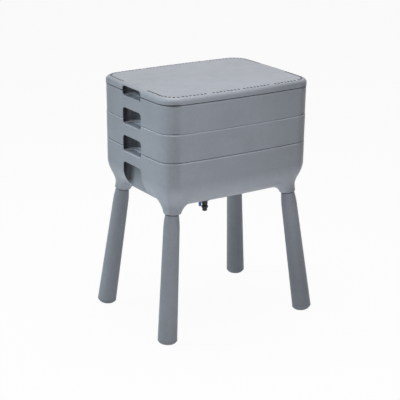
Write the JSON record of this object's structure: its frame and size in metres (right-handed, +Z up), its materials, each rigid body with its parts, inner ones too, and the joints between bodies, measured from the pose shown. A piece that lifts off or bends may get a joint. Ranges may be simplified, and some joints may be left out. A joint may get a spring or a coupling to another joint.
{
  "type": "wormery",
  "caption": "Indoor worm composter: stacked trays with side hand-holds under a vented lid, on a sump base with splayed legs and a drain tap.",
  "frame": {"origin": "on the floor under the middle of the stack", "axes": "+Z up, X along the long side with the hand-holds in the two ends at -X and +X, +Y to the back"},
  "size_m": [0.5304, 0.4104, 0.7091],
  "materials": {
    "shell_plastic": "fine-grained matt moulding",
    "lid_plastic": "fine-grained matt moulding",
    "leg_plastic": "fine-grained matt moulding",
    "cap_plastic": "matt, slightly soft",
    "tap_plastic": "satin",
    "lever_plastic": "satin",
    "seal_rubber": "matt",
    "strainer_plastic": "matt"
  },
  "bodies": {
    "base": {"base_bin": "shell_plastic", "leg_front_left": "leg_plastic", "leg_front_right": "leg_plastic", "leg_back_left": "leg_plastic", "leg_back_right": "leg_plastic", "cap_front_left": "cap_plastic", "cap_front_right": "cap_plastic", "cap_back_left": "cap_plastic", "cap_back_right": "cap_plastic", "drain_strainer": "strainer_plastic", "tap_body": "tap_plastic", "tap_back_nut": "tap_plastic", "tap_washer_outer": "seal_rubber", "tap_washer_inner": "seal_rubber", "tap_hose_collar": "tap_plastic", "tap_bonnet": "tap_plastic", "tap_spindle_ring": "seal_rubber"},
    "lower_tray": {"lower_tray": "shell_plastic"},
    "upper_tray": {"upper_tray": "shell_plastic"},
    "lid": {"lid": "lid_plastic"},
    "tap_key": {"tap_plug": "tap_plastic", "tap_handle": "lever_plastic"}
  },
  "joints": [
    {"name": "lower_tray_lift", "type": "slide", "parent": "base", "child": "lower_tray", "axis": [0, 0, 1], "range_m": [0, 0.15]},
    {"name": "upper_tray_lift", "type": "slide", "parent": "lower_tray", "child": "upper_tray", "axis": [0, 0, 1], "range_m": [0, 0.15]},
    {"name": "lid_lift", "type": "slide", "parent": "upper_tray", "child": "lid", "axis": [0, 0, 1], "range_m": [0, 0.15]},
    {"name": "tap_turn", "type": "hinge", "parent": "base", "child": "tap_key", "pos_m": [0, 0, 0.34], "axis": [1, 0, 0], "range_deg": [0, 90]}
  ]
}
